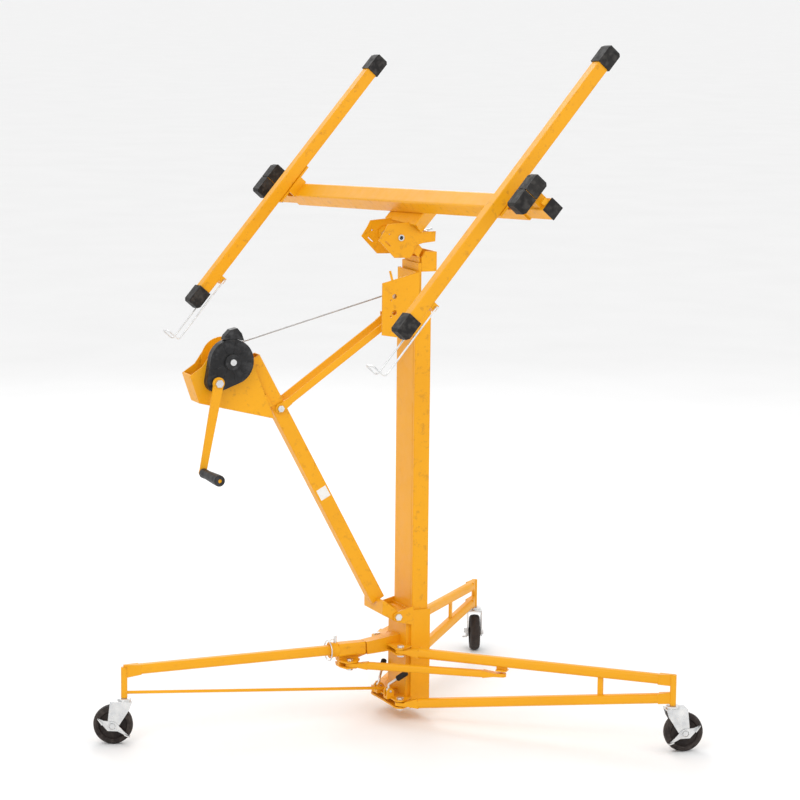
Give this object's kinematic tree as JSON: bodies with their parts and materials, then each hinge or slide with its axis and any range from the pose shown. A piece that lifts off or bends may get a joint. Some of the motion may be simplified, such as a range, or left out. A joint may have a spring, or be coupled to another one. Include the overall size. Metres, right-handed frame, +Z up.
{
  "type": "drywall lift",
  "caption": "Orange steel drywall lift with a telescopic mast on a folding tripod, a hand winch on an arm and a tilted panel cradle.",
  "frame": {"origin": "on the floor, at the middle of the lift's footprint; the mast's axis is at x = 0.159 m", "axes": "+Z up; -X along the main leg, towards the winch; -Y towards the crank handle; the cradle's beam runs along Y"},
  "size_m": [1.3926, 1.4952, 1.7541],
  "materials": {
    "orange_paint": "satin powder coat",
    "zinc_steel": "zinc plated",
    "wire_rope": "galvanised strand",
    "black_plastic": "fine grain",
    "black_rubber": "matte",
    "wheel_tread": "matte",
    "nylon": "smooth"
  },
  "bodies": {
    "base": {"base_post": "orange_paint", "leg_hinge_bolts": "zinc_steel", "main_leg": "orange_paint", "mast_outer": "orange_paint", "head_bracket": "orange_paint", "winch_arm": "orange_paint", "frame_bolts": "zinc_steel", "winch_frame": "orange_paint", "brace_near": "orange_paint", "brace_far": "orange_paint", "gear_cover": "black_plastic", "pawl_cover": "black_plastic", "winch_cable": "wire_rope"},
    "collar": {"collar": "orange_paint", "strut_bolts": "zinc_steel"},
    "collar_lock": {"collar_pin": "zinc_steel"},
    "leg_near": {"side_leg_near": "orange_paint"},
    "strut_near": {"strut_near": "orange_paint"},
    "foot_lever_near": {"foot_lever_near": "zinc_steel", "foot_lever_grip_near": "black_rubber"},
    "leg_far": {"side_leg_far": "orange_paint"},
    "strut_far": {"strut_far": "orange_paint"},
    "foot_lever_far": {"foot_lever_far": "zinc_steel", "foot_lever_grip_far": "black_rubber"},
    "caster_main": {"caster_fork_main": "zinc_steel"},
    "wheel_main": {"caster_wheel_main": "wheel_tread"},
    "brake_main": {"caster_brake_main": "zinc_steel"},
    "caster_near": {"caster_fork_near": "zinc_steel"},
    "wheel_near": {"caster_wheel_near": "wheel_tread"},
    "brake_near": {"caster_brake_near": "zinc_steel"},
    "caster_far": {"caster_fork_far": "zinc_steel"},
    "wheel_far": {"caster_wheel_far": "wheel_tread"},
    "brake_far": {"caster_brake_far": "zinc_steel"},
    "middle_section": {"mast_middle": "orange_paint", "middle_glides": "nylon"},
    "inner_section": {"mast_inner": "orange_paint", "inner_glides": "nylon", "head_block": "orange_paint", "tilt_pin": "zinc_steel"},
    "tilting_head": {"tilt_head": "orange_paint", "tilt_latch": "zinc_steel"},
    "cradle": {"crossbeam": "orange_paint", "cross_arm_near": "orange_paint", "cross_arm_far": "orange_paint", "arm_caps": "black_rubber", "cradle_bolts": "zinc_steel"},
    "outrigger_near": {"outrigger_near": "orange_paint", "outrigger_caps_near": "black_rubber"},
    "hook_near": {"panel_hook_near": "zinc_steel"},
    "outrigger_far": {"outrigger_far": "orange_paint", "outrigger_caps_far": "black_rubber"},
    "hook_far": {"panel_hook_far": "zinc_steel"},
    "drum": {"winch_drum": "orange_paint", "drum_shaft": "zinc_steel", "drum_gear": "zinc_steel"},
    "pinion": {"pinion_shaft": "zinc_steel", "crank_arm": "orange_paint"},
    "grip": {"crank_grip": "black_plastic"},
    "pulley": {"head_pulley": "zinc_steel"}
  },
  "joints": [
    {"name": "collar_slide", "type": "slide", "parent": "base", "child": "collar", "axis": [-1, 0, 0], "range_m": [0, 0.5125]},
    {"name": "collar_lock_pull", "type": "slide", "parent": "collar", "child": "collar_lock", "axis": [0, 0, 1], "range_m": [0, 0.008], "stiffness_N_per_m": 40},
    {"name": "leg_fold_near", "type": "hinge", "parent": "base", "child": "leg_near", "pos_m": [0.097, -0.076, 0.118], "axis": [0, 0, 1], "range_deg": [-117, 0]},
    {"name": "strut_turn_near", "type": "hinge", "parent": "collar", "child": "strut_near", "pos_m": [-0.023, -0.025, 0.152], "axis": [0, 0, 1], "range_deg": [0, 16.6]},
    {"name": "foot_lever_turn_near", "type": "hinge", "parent": "base", "child": "foot_lever_near", "pos_m": [0.085, -0.031, 0.074], "axis": [0, -1, 0], "range_deg": [0, 60]},
    {"name": "leg_fold_far", "type": "hinge", "parent": "base", "child": "leg_far", "pos_m": [0.097, 0.076, 0.118], "axis": [0, 0, 1], "range_deg": [0, 117]},
    {"name": "strut_turn_far", "type": "hinge", "parent": "collar", "child": "strut_far", "pos_m": [-0.023, 0.025, 0.152], "axis": [0, 0, 1], "range_deg": [-16.6, 0]},
    {"name": "foot_lever_turn_far", "type": "hinge", "parent": "base", "child": "foot_lever_far", "pos_m": [0.085, 0.031, 0.074], "axis": [0, -1, 0], "range_deg": [0, 60]},
    {"name": "caster_swivel_main", "type": "hinge", "parent": "base", "child": "caster_main", "pos_m": [-0.624, 0, 0.118], "axis": [0, 0, 1], "continuous": true},
    {"name": "wheel_spin_main", "type": "hinge", "parent": "caster_main", "child": "wheel_main", "pos_m": [-0.64958, 0.01139, 0.05], "axis": [-0.4067, -0.9135, 0], "continuous": true},
    {"name": "brake_press_main", "type": "hinge", "parent": "caster_main", "child": "brake_main", "pos_m": [-0.64958, 0.01139, 0.05], "axis": [-0.4067, -0.9135, 0], "range_deg": [-20, 0]},
    {"name": "caster_swivel_near", "type": "hinge", "parent": "leg_near", "child": "caster_near", "pos_m": [0.618, -0.576, 0.118], "axis": [0, 0, 1], "continuous": true},
    {"name": "wheel_spin_near", "type": "hinge", "parent": "caster_near", "child": "wheel_near", "pos_m": [0.64517, -0.58277, 0.05], "axis": [0.2419, 0.9703, 0], "continuous": true},
    {"name": "brake_press_near", "type": "hinge", "parent": "caster_near", "child": "brake_near", "pos_m": [0.64517, -0.58277, 0.05], "axis": [0.2419, 0.9703, 0], "range_deg": [-20, 0]},
    {"name": "caster_swivel_far", "type": "hinge", "parent": "leg_far", "child": "caster_far", "pos_m": [0.618, 0.576, 0.118], "axis": [0, 0, 1], "continuous": true},
    {"name": "wheel_spin_far", "type": "hinge", "parent": "caster_far", "child": "wheel_far", "pos_m": [0.60751, 0.55004, 0.05], "axis": [0.9272, -0.3746, 0], "continuous": true},
    {"name": "brake_press_far", "type": "hinge", "parent": "caster_far", "child": "brake_far", "pos_m": [0.60751, 0.55004, 0.05], "axis": [0.9272, -0.3746, 0], "range_deg": [-20, 0]},
    {"name": "middle_lift", "type": "slide", "parent": "base", "child": "middle_section", "axis": [0, 0, 1], "range_m": [0, 0.96]},
    {"name": "inner_lift", "type": "slide", "parent": "middle_section", "child": "inner_section", "axis": [0, 0, 1], "range_m": [0, 0.96]},
    {"name": "head_tilt", "type": "hinge", "parent": "inner_section", "child": "tilting_head", "pos_m": [0.095, 0, 1.253], "axis": [0, -1, 0], "range_deg": [-48.3, 15]},
    {"name": "cradle_swivel", "type": "hinge", "parent": "tilting_head", "child": "cradle", "pos_m": [0.14808, 0, 1.32625], "axis": [-0.7466, 0, 0.6652], "range_deg": [-14.6, 5.4]},
    {"name": "outrigger_slide_near", "type": "slide", "parent": "cradle", "child": "outrigger_near", "axis": [0.0534, -0.9968, 0.0599], "range_m": [0, 0.26]},
    {"name": "hook_fold_near", "type": "hinge", "parent": "cradle", "child": "hook_near", "pos_m": [-0.08271, -0.63707, 1.15577], "axis": [0.0534, -0.9968, 0.0599], "range_deg": [0, 170]},
    {"name": "outrigger_slide_far", "type": "slide", "parent": "cradle", "child": "outrigger_far", "axis": [-0.0534, 0.9968, -0.0599], "range_m": [0, 0.26]},
    {"name": "hook_fold_far", "type": "hinge", "parent": "cradle", "child": "hook_far", "pos_m": [-0.14806, 0.58398, 1.08242], "axis": [0.0534, -0.9968, 0.0599], "range_deg": [0, 170]},
    {"name": "drum_turn", "type": "hinge", "parent": "base", "child": "drum", "pos_m": [-0.357, 0, 0.959], "axis": [0, 1, 0], "continuous": true},
    {"name": "crank_turn", "type": "hinge", "parent": "base", "child": "pinion", "pos_m": [-0.398, 0, 0.90986], "axis": [0, 1, 0], "continuous": true},
    {"name": "grip_spin", "type": "hinge", "parent": "pinion", "child": "grip", "pos_m": [-0.44, 0, 0.68886], "axis": [0, 1, 0], "continuous": true},
    {"name": "pulley_spin", "type": "hinge", "parent": "base", "child": "pulley", "pos_m": [0.123, 0, 1.093], "axis": [0, 1, 0], "continuous": true}
  ],
  "couplings": [
    {"joint": "leg_fold_far", "follows": "leg_fold_near", "ratio": -1},
    {"joint": "collar_slide", "follows": "leg_fold_near", "m_per_rad": -0.2506},
    {"joint": "strut_turn_near", "follows": "leg_fold_near", "ratio": -0.141},
    {"joint": "strut_turn_far", "follows": "leg_fold_near", "ratio": 0.141},
    {"joint": "inner_lift", "follows": "middle_lift", "ratio": 1},
    {"joint": "crank_turn", "follows": "drum_turn", "ratio": -3.5714}
  ]
}
